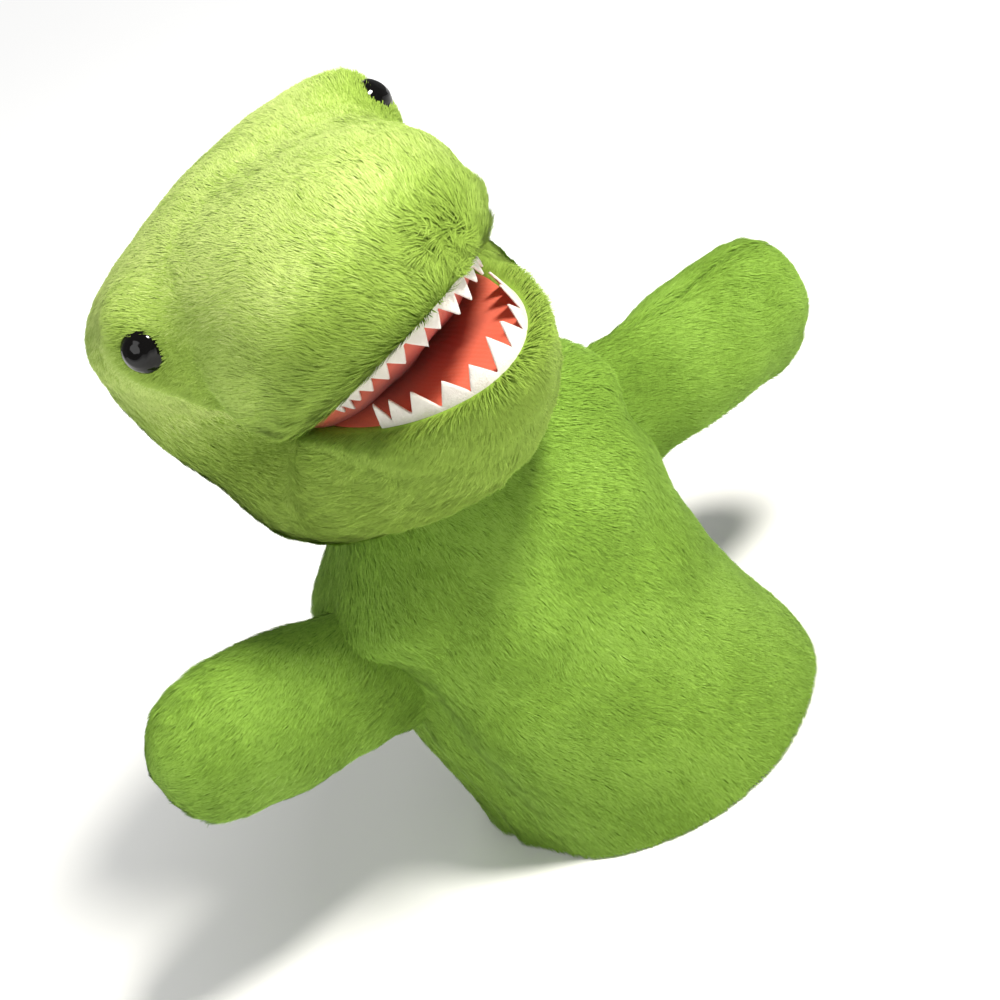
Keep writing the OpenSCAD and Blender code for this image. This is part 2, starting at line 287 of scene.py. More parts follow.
PILE_TINTS = [(88, 118, 36), (100, 134, 42), (114, 150, 50), (128, 166, 60), (142, 181, 72), (160, 198, 90),
              (180, 214, 112), (200, 228, 132), (214, 238, 148)]
LIME_TINTS = [(r * 1.05, g * 0.98, b * 1.05) for r, g, b in PILE_TINTS]
PILE = [shader(f"pile_{i}", srgb(*tint), 0.85)[0] for i, tint in enumerate(PILE_TINTS)]
LIME_PILE = [shader(f"lime_pile_{i}", srgb(*tint), 0.85)[0] for i, tint in enumerate(LIME_TINTS)]
BACKING = cloth("plush_backing", srgb(96, 130, 42), srgb(112, 148, 52), 0.006, 0.0008, 0.0006, sheen=0)
BACKING_LIGHT = cloth(
    "plush_backing_light", srgb(118, 148, 52), srgb(134, 164, 62), 0.006, 0.0008, 0.0006, sheen=0)
MOUTH_CLOTH = woven("mouth_cloth", srgb(196, 76, 46), srgb(220, 104, 74), 0.00035)
FELT = cloth("teeth_felt", srgb(214, 204, 196), srgb(240, 234, 228), 0.003, 0.0005, 0.0005, 0.95, 0.4)
LINING = woven("lining_cloth", srgb(196, 206, 170), srgb(222, 228, 200), 0.0005)
WADDING = cloth("wadding", srgb(214, 214, 208), srgb(240, 240, 236), 0.004, 0.0012, 0.001)
BOARD = cloth("board_foam", srgb(44, 44, 46), srgb(62, 62, 64), 0.004, 0.0006, 0.0002, 0.7, 0)
WASHER = cloth("washer_plastic", srgb(214, 214, 208), srgb(228, 228, 222), 0.003, 0.002, 0.00005, 0.45, 0)


def eye_gloss():
    m, tree, s = shader("eye_plastic", srgb(9, 8, 8), 0.06)
    noise, spread = tree.nodes.new("ShaderNodeTexNoise"), tree.nodes.new("ShaderNodeMapRange")
    noise.inputs["Scale"].default_value = 500
    spread.inputs["To Min"].default_value, spread.inputs["To Max"].default_value = 0.03, 0.1
    tree.links.new(noise.outputs["Fac"], spread.inputs["Value"])
    tree.links.new(spread.outputs["Result"], s.inputs["Roughness"])
    s.inputs["IOR"].default_value = 1.33
    return m


EYE = eye_gloss()


def dress(obj, material):
    obj.data.materials.clear()
    obj.data.materials.append(material)
    return obj


# ---------------------------------------------------------------- pile
BLADES_PER_PIECE = 60000
SLEEVE_BLADES, CROWN_BLADES, CHIN_BLADES, ARM_BLADES = 250000, 240000, 165000, 88000
BLADE_WIDTH = (0.26, 0.46)   # least and most, for a blade of BLADE_LENGTH
BLADE_LENGTH = 5
ROOT_DEPTH = 0.15            # how far a blade starts under the skin


def grow(name, patch, count, weight, rest, seed, tints=PILE):
    """Pile on a patch: tapered blades that lie along the nap. rest(point, normal, row, column, u, v) gives
    each blade's direction, length, lift in radians and tint. Returns the pieces."""
    rng = np.random.default_rng(seed)
    rows, cols = patch.p.shape[:2]
    u, v = np.meshgrid(np.linspace(0, 1, rows), np.linspace(0, 1, cols), indexing="ij")
    mix = patch.sample(rng, count, weight)
    p, n = mix(patch.p), unit(mix(patch.n))
    uv = mix(np.stack([u, v], -1))
    along, length, lift, tint = rest(p, n, unit(mix(patch.du)), unit(mix(patch.dv)), uv[:, 0], uv[:, 1])
    along = along + rng.normal(size=along.shape) * 0.16
    along = unit(along - n * (along * n).sum(axis=1, keepdims=True))
    across = unit(np.cross(n, along) + n * rng.normal(size=(count, 1)) * 0.1)
    length = (length * rng.uniform(0.72, 1.25, count))[:, None]
    lift = (lift * rng.uniform(0.7, 1.35, count))[:, None]
    width = rng.uniform(*BLADE_WIDTH, (count, 1)) * np.sqrt(length / BLADE_LENGTH)
    root = p - n * ROOT_DEPTH
    first = along * np.cos(lift) + n * np.sin(lift)
    second = along * np.cos(lift * 0.45) + n * np.sin(lift * 0.45)
    middle = root + first * length * 0.5
    tip = middle + second * length * 0.5
    points = np.stack([root - across * width / 2, root + across * width / 2, middle - across * width * 0.4,
                       middle + across * width * 0.4, tip], 1)
    shade = unit(n + along * 0.12)
    tone = np.clip(np.round(tint + rng.normal(size=count) * 0.3), 1, len(PILE) - 1).astype(int)
    pieces = []
    order = np.argsort(rng.random(count))
    for k, part in enumerate(np.array_split(order, max(1, math.ceil(count / BLADES_PER_PIECE)))):
        pieces.append(blades(f"{name}_{k + 1}", points[part], shade[part], tone[part], tints))
    return pieces


def blades(name, points, shade, tone, tints):
    """One mesh of many blades, each a quad and a pointed triangle."""
    count = len(points)
    mesh = bpy.data.meshes.new(name)
    mesh.vertices.add(count * 5)
    mesh.vertices.foreach_set("co", (points * MM).astype(np.float32).ravel())
    base = np.arange(count)[:, None] * 5
    corners = (base + np.array([1, 0, 2, 3, 3, 2, 4])).astype(np.int32)
    mesh.loops.add(count * 7)
    mesh.loops.foreach_set("vertex_index", corners.ravel())
    mesh.polygons.add(count * 2)
    starts = np.arange(count)[:, None] * 7 + np.array([0, 4])
    mesh.polygons.foreach_set("loop_start", starts.astype(np.int32).ravel())
    mesh.update(calc_edges=True)
    for material in tints:
        mesh.materials.append(material)
    # Each blade's root quad takes the tint one step darker than its tip: painted shade at the roots of the
    # pile
    index = np.stack([tone - 1, tone], 1).astype(np.int32)
    mesh.polygons.foreach_set("material_index", index.ravel())
    mesh.shade_smooth()
    mesh.normals_split_custom_set_from_vertices(np.repeat(shade, 5, axis=0).tolist())
    mesh.update()
    obj = bpy.data.objects.new(name, mesh)
    bpy.context.scene.collection.objects.link(obj)
    return obj


# ---------------------------------------------------------------- sleeve
# Distance from the hem, half width and half depth
SLEEVE = [(0, 67, 66), (30, 67, 64), (70, 66, 57), (105, 62, 47), (120, 57, 41), (132, 51, 36), (140, 45, 32),
          (150, 40, 28), (160, 37, 26), (172, 35, 25)]
SLEEVE_FOOT, SLEEVE_TOP = 2.5, 172
SLEEVE_ROWS = 110
SLEEVE_PILE_TOP = 156  # no pile above it, where the skin is in the head at rest
PLUSH = 2.2            # thickness of the sleeve's plush
LINING_INSET, FACING_INSET = 4.2, 3.1      # from the plush's outside
SIDE_FOLD = 198        # angle round the sleeve of the fold under the right arm, in degrees


def sleeve_folds(s, a):
    """How far the sleeve's cloth stands in or out of its even shape at distance s and angle a."""
    p = on_spine(s, 60 * np.cos(a), 50 * np.sin(a))
    soft = 1.3 * waves(p, 90, 3)
    turn = np.degrees(np.angle(np.exp(1j * (a - math.radians(SIDE_FOLD)))))
    low = (0.35 + 0.65 * ramp(s, 10, 60)) * (1 - ramp(s, 85, 118))
    side_fold = (-4.5 * bump(turn, 0, 11) + 2.4 * bump(turn, 20, 12)) * low
    seam = -1.6 * (bump(np.cos(a), 1, 0.0016) + bump(np.cos(a), -1, 0.0016)) * (1 - ramp(s, 130, 150))
    flare = 2.2 * np.sin(3 * a + 0.8) * (1 - ramp(s, 0, 70))
    right, left = bump(np.cos(a), -1, 0.32), bump(np.cos(a), 1, 0.30)
    shoulders = 22 * right * bump(s, 133, 20) + 15 * left * bump(s, 136, 17)
    rumples = 1.3 * waves(p * [1, 1, 0.7], 30, 4) * ramp(s, 55, 100)
    hem_corner = 7.0 * bump(turn, 132, 36) * (1 - ramp(s, 0, 35))
    return soft + side_fold + seam + flare + shoulders + hem_corner + rumples


def sleeve_grid(profile, columns=220):
    """Rings at (distance, inset) pairs."""
    s = np.array([row[0] for row in profile], float)[:, None]
    inset = np.array([row[1] for row in profile], float)[:, None]
    a = np.linspace(0, 2 * math.pi, columns, endpoint=False)[None, :]
    s, inset, a = np.broadcast_arrays(s, inset, a)
    out = sleeve_folds(s, a) - inset
    wide = smooth_table(SLEEVE, 1, s, 7) + out
    deep = smooth_table(SLEEVE, 2, s, 7) + out
    waist = 2.5 * bump(s, 55, 32)
    sag = 8.5 * bump(s, 60, 36) + 2 * bump(s, 95, 25)
    return on_spine(s, (wide - waist) * np.cos(a) - sag, deep * np.sin(a))


def make_sleeve():
    outside = [(s, 0) for s in np.linspace(SLEEVE_FOOT, SLEEVE_TOP, SLEEVE_ROWS)]
    hem = [(0.1, 1.5), (0.9, 0.5)]
    skin = sheet("sleeve_plush", Patch(sleeve_grid(hem + outside), wrap=True, flip=True), PLUSH)
    dress(skin, BACKING)
    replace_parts(skin, "sleeve_front", "sleeve_back", "neck_seam")
    nap = Patch(sleeve_grid(outside), wrap=True, flip=True)

    def rest(p, n, row, column, u, v):
        s = SLEEVE_FOOT + u * (SLEEVE_TOP - SLEEVE_FOOT)
        sway = 0.35 + 0.25 * waves(p, 40, 11) + 0.18 * waves(p, 9, 12)
        along = -row + column * sway[:, None]
        length = np.minimum(4.6 + 0.6 * waves(p, 14, 13), s * 0.9 + 0.4)
        lift = 0.22 + 0.05 * waves(p, 7, 14)
        tint = 3.4 + 0.14 * waves(p * [1, 1, 0.35], 7, 15) + 0.35 * waves(p, 45, 16)
        return along, length, lift, tint

    s = np.linspace(SLEEVE_FOOT, SLEEVE_TOP, SLEEVE_ROWS)
    weight = np.broadcast_to(((s < SLEEVE_PILE_TOP) * 1.0)[:, None], nap.p.shape[:2])
    pieces = [skin] + grow("sleeve_pile", nap, SLEEVE_BLADES, weight, rest, SEED + 1)
    inner = [(s, LINING_INSET) for s in np.linspace(10, 128, 50)]
    lining = sheet("sleeve_lining_cloth", Patch(sleeve_grid(inner), True, True), 0.8)
    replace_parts(dress(lining, LINING), "sleeve_lining")
    turned = [(s, FACING_INSET) for s in np.linspace(1, 17, 8)]
    facing = sheet("hem_band", Patch(sleeve_grid(turned), True, True), 0.9)
    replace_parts(dress(facing, BACKING_LIGHT), "hem_facing")
    for piece in pieces + [lining]:
        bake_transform(piece)
    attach(facing, "sleeve")


# ---------------------------------------------------------------- head
# Section angle up from forwards, depth, bulge of the flanks past the mouth's corners, and roundness, which is
# less where the head is squarer
HEAD = [(10, 79, 7, 1), (22, 79, 10, 1), (37, 78, 27, 1), (52, 79, 34, 1), (67, 74, 36, 0.95),
        (80, 69, 37, 0.8), (90, 68, 38, 0.68), (105, 74, 43, 0.55), (125, 80, 53, 0.5), (145, 79, 55, 0.52),
        (165, 69, 56, 0.7), (190, 60, 54, 0.95), (210, 58, 54, 1), (232, 57, 53, 1), (262, 54, 45, 1),
        (282, 53, 35, 1), (300, 56, 26, 1), (320, 60, 15, 1), (340, 67, 7, 1), (360, 79, 3, 1),
        (372, 79, 3, 1)]
MOUTH_W, MOUTH_D = 37, 79
UPPER_LIP, LOWER_LIP = 22, 360
EYE_AT = np.array([51.9, 3.4, 52.5])
EYE_AXIS = unit([0.67, -0.60, 0.43])
BROW = np.array([1.0, 6.0, 13.0])         # from the eye to the top of the bump over it
NOSE = np.array([12.0, -70.0, 36.0])      # where the pile swirls
PARTING = 200                              # section behind the crown where its skin meets the jaw's
SHARED = 1.5                               # how far each skin passes the parting, in degrees
NECK_HOLE = (236, 278, 31)                 # first and last section, and half width
HEAD_ROWS, HEAD_COLUMNS = 320, 230
HEAD_PLUSH = 1.6                           # thickness of the head's plush
BALD_EYE = 5.6                             # how far from an eye's middle the pile starts
BALD_LIP = 1.8                             # inset past which the lips' roll has no pile
WAD_INSET, WAD_THICK = 6.5, 5.5


def section(up, t, inset=0.0, turned_in=0.0):
    """A point of the head's skin: up is the section's angle in degrees, t goes round it from corner to
    corner. Where turned_in is 1 the flanks don't bulge, so that the skin meets the mouth's lining."""
    bulge = smooth_table(HEAD, 2, up, 6) * (1 - turned_in)
    x = np.cos(t) * (MOUTH_W - inset + bulge * np.sin(t) ** 0.7)
    r = np.sin(t) ** smooth_table(HEAD, 3, up, 6) * (smooth_table(HEAD, 1, up, 6) - inset)
    a = np.radians(up)
    return np.stack([x, -r * np.cos(a), r * np.sin(a)], -1)


def mirrored(p, point):
    """Distance of points from a place and from its mirror image, whichever is nearer."""
    other = point * [-1, 1, 1]
    return np.minimum(np.linalg.norm(p - point, axis=-1), np.linalg.norm(p - other, axis=-1))


def head_relief(p, up, t):
    """How far the head's skin stands out of its even shape."""
    from_corner = np.sin(t)
    pads = 3.0 * bump(mirrored(p, EYE_AT), 0, 15) + 5.5 * bump(mirrored(p, EYE_AT + BROW), 0, 13)
    beside = (1 - ramp(from_corner, 0.6, 0.9)) * ramp(from_corner, 0.05, 0.3)
    crease = -3.4 * bump(up, 84 - 10 * from_corner, 11) * beside
    lips = (2.0 * bump(up, UPPER_LIP + 9, 6) + 1.0 * bump(up, LOWER_LIP - 9, 7)) * ramp(from_corner, 0.1, 0.5)
    soft = 1.1 * waves(p, 60, 21) * ramp(from_corner, 0.05, 0.3)
    return pads + crease + lips + soft


# Where the skin turns in over the mouth's lining: angle past the lip and inset, from the inside out
LIP_ROLL = [(0.5, 4.6), (-0.5, 3.6), (-0.9, 2.4), (-0.7, 1.2), (-0.1, 0.3)]


def head_rows(count):
    """Angle and inset of each row of the head's skin, from inside the upper lip round to inside the lower."""
    between = np.linspace(UPPER_LIP + 1.2, LOWER_LIP - 1.2, count)
    up = [UPPER_LIP + d for d, _ in LIP_ROLL] + list(between) + [LOWER_LIP - d for d, _ in LIP_ROLL[::-1]]
    inset = [i for _, i in LIP_ROLL] + [0] * count + [i for _, i in LIP_ROLL[::-1]]
    return np.array(up), np.array(inset)


def make_wadding(name, node, body, first, last):
    """Fibre stuffing behind the plush, as a thick shell."""
    up, t = np.meshgrid(np.linspace(first, last, 60), np.radians(np.linspace(15, 165, 60)), indexing="ij")
    patch = Patch(head_to_row(section(up, t, WAD_INSET)))
    if (patch.n[30, 30] * (patch.p[30, 30] - FOLD)).sum() < 0:
        patch = Patch(patch.p, flip=True)
    wad = dress(sheet(name, patch, WAD_THICK), WADDING)
    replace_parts(wad, node)
    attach(wad, body)


def make_head():
    row_up, row_inset = head_rows(HEAD_ROWS)
    corner = np.array([0.002, 0.02, 0.1, 0.3, 0.65])      # closes the skin at the mouth's corners, in degrees
    columns = np.concatenate([corner, np.linspace(1.2, 178.8, HEAD_COLUMNS), 180 - corner[::-1]])
    up, t = np.meshgrid(row_up, np.radians(columns), indexing="ij")
    inset = np.broadcast_to(row_inset[:, None], up.shape)
    inner = section(up, t, inset, np.clip(inset / 3.6, 0, 1))
    hole = (up > NECK_HOLE[0]) & (up < NECK_HOLE[1]) & (np.abs(inner[..., 0]) < NECK_HOLE[2])
    patch = Patch(inner)
    middle = (HEAD_ROWS // 2, HEAD_COLUMNS // 2)
    if (patch.n[middle] * inner[middle]).sum() < 0:
        patch = Patch(inner, flip=True)
    patch.displace(head_relief(inner, up, t) * (inset == 0))
    local = patch.p * 1.0
    skin, flip = head_to_row(patch.p), patch.flip
    patch = Patch(skin, flip=flip, keep=~hole[:-1, :-1])
    crown = Patch(skin, flip=flip, keep=(up < PARTING + SHARED)[:-1, :-1])
    chin = Patch(skin, flip=flip, keep=(~hole & (up > PARTING - SHARED))[:-1, :-1])
    crown = dress(sheet("head_plush", crown, HEAD_PLUSH), BACKING_LIGHT)
    chin = dress(sheet("chin_plush", chin, HEAD_PLUSH), BACKING_LIGHT)
    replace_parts(crown, "crown_plush")
    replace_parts(chin, "nape_plush", "cheek_left", "cheek_right", "jaw_plush")
    eye_gap = mirrored(local, EYE_AT)
    bald = hole | (eye_gap < BALD_EYE) | (inset > BALD_LIP)
    weight = np.where(bald, 0, 1.0 + 0.3 * (up < 150) + 0.4 * (up > 225))

    def rest(p, n, row, column, u, v):
        up = np.interp(u, np.linspace(0, 1, len(row_up)), row_up)
        q = (p - FOLD) @ np.stack([HEAD_X, HEAD_Y, NECK_UP], 1)
        jaw = ramp(up, 225, 315)
        side = np.cos(np.pi * v)
        along = row * (1 - 2 * jaw)[:, None] - column * (side * (0.55 + 0.3 * jaw))[:, None]
        swirl = bump(np.linalg.norm(q - NOSE, axis=1), 0, 12)
        away = q - NOSE
        spin = away @ np.stack([HEAD_X, HEAD_Y, NECK_UP])
        ruffle = row * 8 * waves(p, 6, 38)[:, None] + column * 8 * waves(p, 6, 39)[:, None]
        spin = unit(np.cross(n, spin) + 0.3 * spin + ruffle)
        along = unit(along) * (1 - swirl)[:, None] + spin * swirl[:, None]
        along = unit(along) + column * (0.26 * waves(p, 24, 31) + 0.12 * waves(p, 8, 32))[:, None]
        eye = mirrored(q, EYE_AT)
        long_part = ramp(up, 270, 315) + bump(up, UPPER_LIP, 16) + 0.7 * bump(up, 84, 20) * (eye > 25)
        long_part = np.clip(long_part, 0, 1)
        edge = np.clip(bump(up, LOWER_LIP, 4) + bump(up, UPPER_LIP, 4), 0, 1)
        corner = 1 - ramp(np.sin(np.pi * v), 0.0, 0.3)
        top = ramp(up, 30, 48) * (1 - ramp(up, 130, 175)) * (1 - (1 - ramp(up, 85, 105)) * np.abs(side) ** 3)
        length = 4.7 + 1.7 * long_part - 0.5 * top + 0.5 * waves(p, 10, 33) - 1.6 * corner - 1.4 * edge
        lift = 0.21 - 0.04 * top + 0.07 * long_part * waves(p, 9, 34) + 0.05 * waves(p, 6, 35) + 0.14 * swirl
        lift = lift + 0.35 * bump(eye, 7, 4)
        length = length + 1.2 * bump(up, 336, 16)
        # The pile's tint is raised over the top of the head as painted light from above and lowered under the
        # jaw as painted shade; it is also darker round the eyes and in the swirl at the nose
        tint = 3.6 + 2.2 * top - 1.3 * bump(eye, 3, 12) - 0.5 * swirl + 0.15 * waves(p, 7, 36)
        tint = tint + 0.35 * waves(p, 30, 37) - 0.4 * jaw
        return along, length, lift, tint

    crown_pile = grow("head_pile", patch, CROWN_BLADES, weight * (up <= PARTING), rest, SEED + 2, LIME_PILE)
    chin_pile = grow("chin_pile", patch, CHIN_BLADES, weight * (up > PARTING), rest, SEED + 3, LIME_PILE)
    for piece in [crown] + crown_pile:
        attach(piece, "head")
    for piece in [chin] + chin_pile:
        jaw_blend(piece)
    make_wadding("head_wadding", "crown_stuffing", "head", 38, 198)
    make_wadding("jaw_wadding", "jaw_stuffing", "jaw", 290, 342)


def jaw_blend(piece):
    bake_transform(piece)


# ---------------------------------------------------------------- mouth
UPPER_PUFF, LOWER_PUFF = 10.5, 0.6     # how far each palate's cloth stands into the mouth
FOLD_DEEP = 5          # how far behind the mouth's corners its fold lies at the middle
MOUTH_ROWS = 60        # rows of the upper palate's cloth


def make_mouth():
    """The cloth that lines both palates and turns round the fold, as two halves that meet at the fold."""
    steps = np.linspace(0, 1, MOUTH_ROWS)
    upper = np.stack([1 - steps, UPPER_LIP - (UPPER_LIP / 2 - 0.5) * steps ** 6], 1)
    lower = np.stack([steps[1:], (UPPER_LIP / 2 - 0.5) * (1 - steps[1:]) ** 6], 1)
    rows = np.concatenate([upper, lower])
    reach, t = np.meshgrid(rows[:, 0], np.radians(np.linspace(1.5, 178.5, 120)), indexing="ij")
    a = np.radians(np.broadcast_to(rows[:, 1:2], reach.shape))
    x = np.cos(t) * (MOUTH_W - 2.4)
    back = FOLD_DEEP * np.sin(t) ** 0.5
    r = reach * (np.sin(t) * (MOUTH_D - 2.6) + back) - back
    facing = np.where(np.arange(len(rows)) < MOUTH_ROWS, -1, 1)[:, None]
    deep = np.where(facing < 0, UPPER_PUFF, LOWER_PUFF) * np.sin(np.pi * reach ** 0.75) ** 0.8
    deep = deep * np.sin(t) ** 0.6
    creases = waves(np.stack([x, r * 0.6, 9 * facing + 0 * r], -1), 20, 41) * np.sin(np.pi * reach)
    puff = deep + 0.5 * creases
    y = -r * np.cos(a) + facing * puff * np.sin(a)
    z = r * np.sin(a) + facing * puff * np.cos(a)
    p = head_to_row(np.stack([x, y, z], -1))
    halves = (("upper_mouth_cloth", p[:MOUTH_ROWS + 1], "upper_plate"),
              ("lower_mouth_cloth", p[MOUTH_ROWS - 1:], "lower_plate"))
    for name, part, plate in halves:
        lining = dress(sheet(name, Patch(part, flip=True), 0.7), MOUTH_CLOTH)
        if plate == "upper_plate":
            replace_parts(lining, "upper_lining", "mouth_fold")
            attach(lining, "head")
        else:
            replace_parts(lining, "lower_lining")
            jaw_blend(lining)


FELT_FOOT = 2.1        # height of a strip between two teeth
FELT_ROOT = 1.2        # how far a strip goes down behind the lip
FELT_THICK = 1.3       # at the foot
TOOTH_STEPS = 14       # points along each tooth


def make_teeth(name, node, body, palate_up, side, inset, lean_in, tallest, teeth, span, seed):
    """A felt strip cut into teeth that stands on a lip, thinner towards the tips. palate_up is the palate's
    angle, side is which way the teeth point, and span is how far round from the front the strip reaches."""
    rng = np.random.default_rng(seed)
    count = teeth * TOOTH_STEPS + 1
    k = np.linspace(0, teeth, count)
    wobble = rng.uniform(0.85, 1.1, teeth + 1)[np.minimum(k.astype(int), teeth)]
    tip_shift = rng.uniform(-0.08, 0.08, teeth + 1)[np.minimum(k.astype(int), teeth)]
    phase = np.clip((k % 1) + tip_shift, 0, 1)
    tri = np.clip(1 - np.abs(2 * phase - 1), 0, 1) ** 0.9
    tri[-1] = 0
    turn = 2 * k / teeth - 1
    a = math.radians(270) + math.radians(span) * turn * (1.35 - 0.35 * turn ** 2)
    tip = tallest * (0.62 + 0.38 * np.cos(1.2 * (a - math.radians(270)))) * wobble
    height = FELT_FOOT + (tip - FELT_FOOT) * tri
    levels = np.linspace(0, 1, 7)
    lv, col = np.meshgrid(levels, np.arange(count), indexing="ij")
    z = -FELT_ROOT + (height[col] + FELT_ROOT) * lv
    thick = FELT_THICK * (1 - 0.45 * lv ** 2)
    faces = []
    for outer in (1, -1):
        off = inset + lean_in * z - outer * thick / 2
        x, y = (MOUTH_W - off) * np.cos(a[col]), (MOUTH_D - off) * np.sin(a[col])
        faces.append(np.stack([x, y, side * z], -1))
    loop = np.concatenate([faces[0], faces[1][::-1]], 0)
    loop = loop.transpose(1, 0, 2)
    c, s = math.cos(math.radians(palate_up)), math.sin(math.radians(palate_up))
    x, y, z = (loop[..., k] for k in range(3))
    turned = np.stack([x, y * c + z * s, -y * s + z * c], -1)
    patch = Patch(head_to_row(turned), wrap=True, flip=side > 0)
    strip = loft(name, patch)
    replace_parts(dress(strip, FELT), node)
    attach(strip, body)


# ---------------------------------------------------------------- eyes
EYE_STANDS = 0.4       # how far a dome's rim stands out of EYE_AT
# Radius and height above the rim, from the top of the dome to the end of the shank
EYE_PROFILE = [(0, 6.3), (2.2, 6.1), (4.2, 5.3), (5.8, 3.9), (6.9, 2.2), (7.35, 0.8), (7.5, 0.2), (7.2, -0.5),
               (2.4, -0.6), (2.0, -1.2), (2.0, -7.8), (1.2, -8.0), (0, -8.0)]


def make_eye(side, name, node):
    r = np.array([row[0] for row in EYE_PROFILE], float)
    z = np.array([row[1] for row in EYE_PROFILE], float)
    keys = np.linspace(0, len(r) - 1, 49)
    r, z = np.interp(keys, range(len(r)), r), np.interp(keys, range(len(z)), z)
    r = np.maximum(r, 0.02)
    a = np.linspace(0, 2 * math.pi, 48, endpoint=False)
    axis = EYE_AXIS * [side, 1, 1]
    e1 = unit(np.cross(axis, [0, 0, 1]))
    e2 = np.cross(axis, e1)
    p = ((EYE_AT + EYE_AXIS * EYE_STANDS) * [side, 1, 1] + axis * z[:, None, None] + r[:, None, None] *
         (np.cos(a)[None, :, None] * e1 + np.sin(a)[None, :, None] * e2))
    eye = loft(name, Patch(head_to_row(p), wrap=True, flip=False))
    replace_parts(dress(eye, EYE), node)
    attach(eye, "head")


# ---------------------------------------------------------------- arms
# Distance from the shoulder, half height and half thickness
ARM = [(-30, 13, 5), (-22, 20, 8), (-13, 26, 10.5), (-4, 26.5, 11.5), (5, 25.5, 13.5), (14, 25.5, 16),
       (27, 27, 18), (46, 28, 19), (62, 28, 18.5), (72, 25.5, 16.5), (79, 20.5, 13), (84, 13.5, 8.5),
       (86.2, 7, 4.5), (87, 1, 0.6)]
ARM_LEN = 87
ARM_ROOT, ARM_ROUND = -30, 72          # where the arm starts in the sleeve, and where it starts to round off
ARM_RISE = {1: -2, -1: 16}             # degrees above level
ARM_COLUMNS = 110
SEAM_DEEP = 2.4


def make_arm(side, name, body, joint):
    at = np.array(JOINTS[joint]["pos_m"]) / MM
    rise = math.radians(ARM_RISE[side])
    out = np.array([side * math.cos(rise), 0, math.sin(rise)])
    up = np.array([-side * math.sin(rise), 0, math.cos(rise)])
    end = np.sin(np.linspace(0.03, 0.5, 28) * math.pi)
    x = np.concatenate([np.linspace(ARM_ROOT, ARM_ROUND, 70), ARM_ROUND + (ARM_LEN - ARM_ROUND) * end])
    a = np.linspace(0, 2 * math.pi, ARM_COLUMNS, endpoint=False)
    x2, a2 = np.meshgrid(x, a, indexing="ij")
    high = smooth_table(ARM, 1, x2, 1.5)
    thick = smooth_table(ARM, 2, x2, 1.5)
    seam_at = math.radians(90) + side * math.radians(18) * ramp(x2, 0, 30)
    seam = bump(np.abs(np.angle(np.exp(1j * (a2 - seam_at)))), 0, 0.05) + bump(
        np.abs(np.angle(np.exp(1j * (a2 + seam_at)))), 0, 0.05)
    p = at + out * x2[..., None] + up * (high * np.sin(a2))[..., None] + np.array([0, 1, 0]) * (
        thick * np.cos(a2))[..., None]
    patch = Patch(p, wrap=True)
    middle = p[50, 0] - p[50, ARM_COLUMNS // 2]
    if (patch.n[50, 0] * middle).sum() < 0:
        patch = Patch(p, wrap=True, flip=True)
    patch.displace(-SEAM_DEEP * seam * ramp(x2, 2, 12) + 0.9 * waves(p, 34, 51 + side) * ramp(x2, 5, 20))
    skin = dress(loft(name + "_plush", patch), BACKING)
    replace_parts(skin, *[f"arm_{part}_{body[4:]}" for part in ("front", "back", "stuffing", "seam")])

    def rest(p, n, row, column, u, v):
        from_root = (p - at) @ out
        sway = 0.5 + 0.3 * waves(p, 30, 61) + 0.2 * waves(p, 8, 62)
        along = row - up * (sway * (1 - ramp(from_root, 66, 82)))[:, None]
        length = (4.4 + 0.6 * waves(p, 12, 63)) * (1 - 0.5 * ramp(from_root, 78, 87))
        lift = 0.22 + 0.05 * waves(p, 7, 64)
        tint = 3.5 + 0.14 * waves(p * [0.5, 1, 1], 7, 65) + 0.35 * waves(p, 30, 66)
        # Darker near the shoulder where the arm meets the sleeve: painted shade in the joint between the
        # parts
        tint = tint - 0.8 * bump(from_root, 0, 9)
        return along, length, lift, tint

    weight = 1 - 0.8 * seam * ramp(x2, 2, 12)
    pieces = [skin] + grow(name + "_pile", patch, ARM_BLADES, weight, rest, SEED + 3 + side)
    for piece in pieces:
        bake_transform(piece)


# ---------------------------------------------------------------- pieces kept from the frame
KEPT = {LINING: ["neck_lining", "finger_pocket", "thumb_pocket"], BOARD: ["upper_plate", "lower_plate"],
        WASHER: ["eye_washer_left", "eye_washer_right"], BACKING: ["neck_plush"]}


def dress_kept_nodes():
    for material, nodes in KEPT.items():
        for node in nodes:
            for slot in frame["nodes"][node].material_slots:
                slot.material = material


# ---------------------------------------------------------------- stage
def area_light(name, at, towards, size, watts, colour):
    light = bpy.data.lights.new(name, "AREA")
    light.shape, light.size, light.energy, light.color = "DISK", size, watts, colour
    obj = bpy.data.objects.new(name, light)
    obj.location = at
    obj.rotation_euler = (Vector(towards) - Vector(at)).to_track_quat("-Z", "Y").to_euler()
    bpy.context.scene.collection.objects.link(obj)


FLOOR_REACH = 9000             # half the floor's side
FLOOR_GLOW = 0.75              # so that the floor stays white away from the lights
GLOW_FROM, GLOW_TO = 0.14, 0.6    # metres from the middle where the glow starts and is full
# Name, place in metres, width in metres, watts and colour
LIGHTS = [("key", (0.32, -0.61, 1.11), 0.24, 22, (1.0, 0.97, 0.90)),
          ("fill", (-1.0, -0.3, 0.8), 0.8, 4.5, (1, 1, 1)),
          ("back", (0.3, 1.0, 0.8), 0.8, 3, (1, 1, 1))]
LIGHTS_AIM = (-0.02, 0, 0.12)
SKY_STRENGTH = 0.2


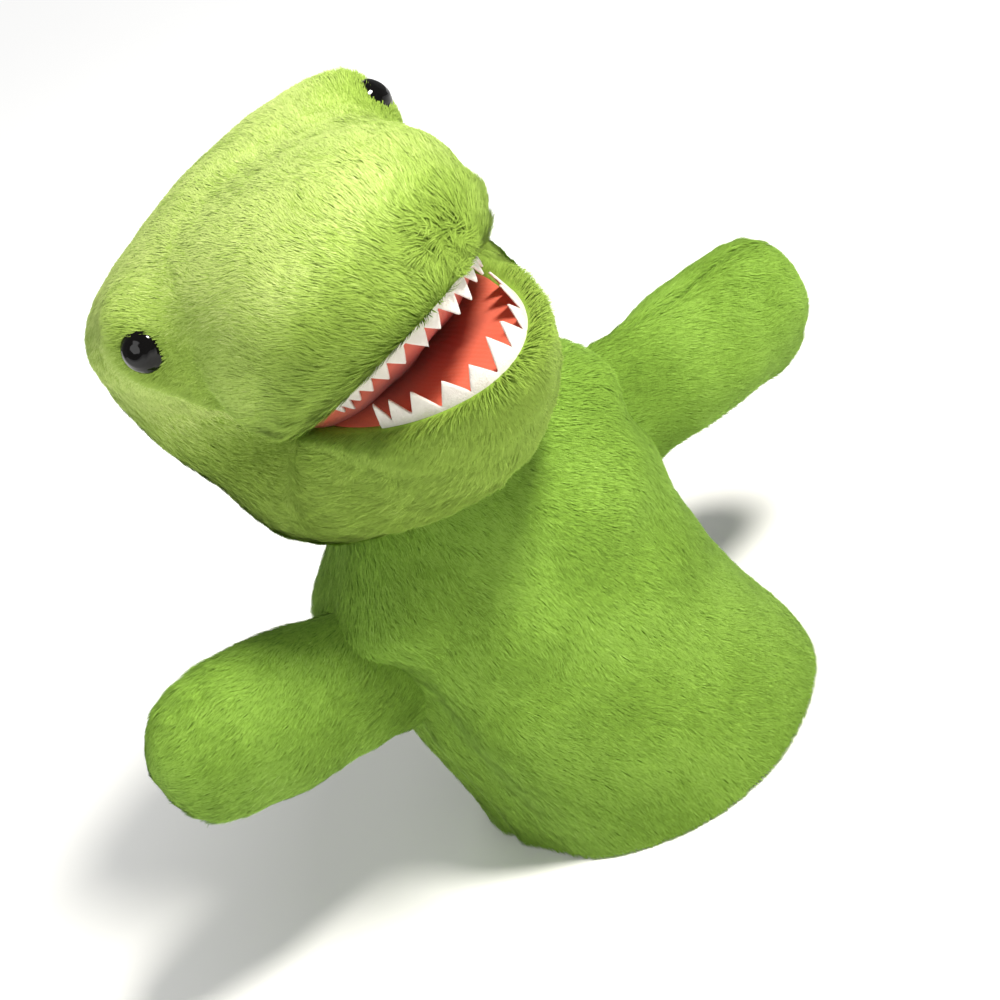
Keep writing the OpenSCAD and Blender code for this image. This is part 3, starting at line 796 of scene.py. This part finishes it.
def make_stage():
    r = FLOOR_REACH
    floor = new_mesh("floor", [(-r, -r, 0), (r, -r, 0), (r, r, 0), (-r, r, 0)], [(0, 1, 2, 3)])
    paint = cloth("floor_paint", srgb(243, 243, 241), srgb(247, 247, 245), 0.4, 0.01, 0.0001, 0.8, 0)
    nodes, link = paint.node_tree.nodes, paint.node_tree.links.new
    away, spread = nodes.new("ShaderNodeVectorMath"), nodes.new("ShaderNodeMapRange")
    away.operation = "LENGTH"
    link(nodes["Texture Coordinate"].outputs["Object"], away.inputs[0])
    link(away.outputs["Value"], spread.inputs["Value"])
    spread.inputs["From Min"].default_value, spread.inputs["From Max"].default_value = GLOW_FROM, GLOW_TO
    spread.inputs["To Max"].default_value = FLOOR_GLOW
    link(spread.outputs["Result"], nodes["Principled BSDF"].inputs["Emission Strength"])
    nodes["Principled BSDF"].inputs["Emission Color"].default_value = (1, 1, 1, 1)
    dress(floor, paint)
    for name, at, size, watts, colour in LIGHTS:
        area_light(name, at, LIGHTS_AIM, size, watts, colour)
    world = bpy.data.worlds.new("studio")
    world.use_nodes = True
    world.node_tree.nodes["Background"].inputs["Color"].default_value = (1, 1, 1, 1)
    world.node_tree.nodes["Background"].inputs["Strength"].default_value = SKY_STRENGTH
    bpy.context.scene.world = world
    bpy.context.scene.view_settings.view_transform = "Standard"


CAMERA_AROUND, CAMERA_UP, CAMERA_ROLL = -21.8, 27.7, 28.5     # degrees
CAMERA_AIM = (-0.0068, 0, 0.1164)
CAMERA_AWAY = 0.556
CAMERA_LENS = 57


def make_camera():
    around, up, roll = (math.radians(v) for v in (CAMERA_AROUND, CAMERA_UP, CAMERA_ROLL))
    back = Vector((math.sin(around) * math.cos(up), -math.cos(around) * math.cos(up), math.sin(up)))
    right = back.cross(Vector((0, 0, 1))).normalized() * -1
    top = back.cross(right)
    turned_right = right * math.cos(roll) - top * math.sin(roll)
    turned_top = right * math.sin(roll) + top * math.cos(roll)
    data = bpy.data.cameras.new("camera")
    data.lens = CAMERA_LENS
    camera = bpy.data.objects.new("camera", data)
    axes = Matrix((turned_right, turned_top, back)).transposed().to_4x4()
    camera.matrix_world = Matrix.Translation(Vector(CAMERA_AIM) + back * CAMERA_AWAY) @ axes
    bpy.context.scene.collection.objects.link(camera)
    bpy.context.scene.camera = camera


make_camera()
make_stage()
make_sleeve()
make_head()
make_mouth()
make_teeth("upper_teeth_felt", "upper_teeth", "head", palate_up=UPPER_LIP, side=-1, inset=3.0, lean_in=0.22,
           tallest=7.6, teeth=17, span=68, seed=SEED + 5)
make_teeth("lower_teeth_felt", "lower_teeth", "jaw", palate_up=0, side=1, inset=2.8, lean_in=0.16,
           tallest=10.6, teeth=11, span=57, seed=SEED + 6)
make_eye(1, "eye_dome_left", "eye_left")
make_eye(-1, "eye_dome_right", "eye_right")
make_arm(1, "arm_left", "arm_left", "arm_left_swing")
make_arm(-1, "arm_right", "arm_right", "arm_right_swing")
dress_kept_nodes()
